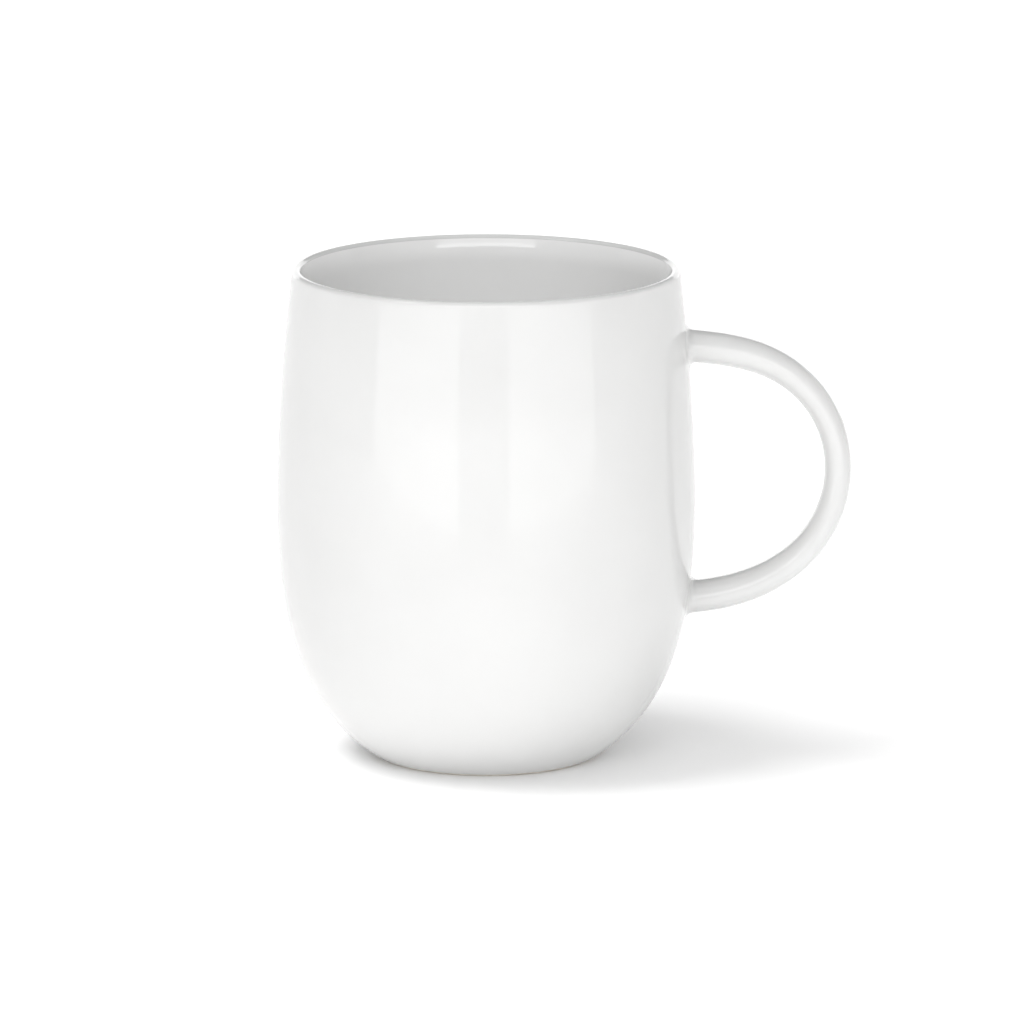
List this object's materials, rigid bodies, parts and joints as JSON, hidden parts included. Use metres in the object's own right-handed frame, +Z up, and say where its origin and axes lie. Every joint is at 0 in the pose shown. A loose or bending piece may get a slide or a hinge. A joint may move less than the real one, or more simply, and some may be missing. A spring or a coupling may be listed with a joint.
{
  "type": "ceramic mug",
  "caption": "White glazed ceramic mug with a round belly, small foot, rolled lip and slim looped rod handle.",
  "frame": {"origin": "centre of the foot ring, on the surface the mug stands on", "axes": "+Z up along the cup's axis, +X towards the handle, +Y across the handle's loop"},
  "size_m": [0.1165, 0.085, 0.1],
  "materials": {
    "bare_clay": "fired unglazed clay, fine matte",
    "slip": "fired slip, matte",
    "glaze": "clear gloss over white"
  },
  "bodies": {
    "root": {"cup_body": "bare_clay", "handle": "bare_clay", "upper_slip_joint": "slip", "lower_slip_joint": "slip", "outer_glaze": "glaze", "inner_glaze": "glaze", "handle_glaze": "glaze", "base_glaze": "glaze"}
  },
  "joints": []
}
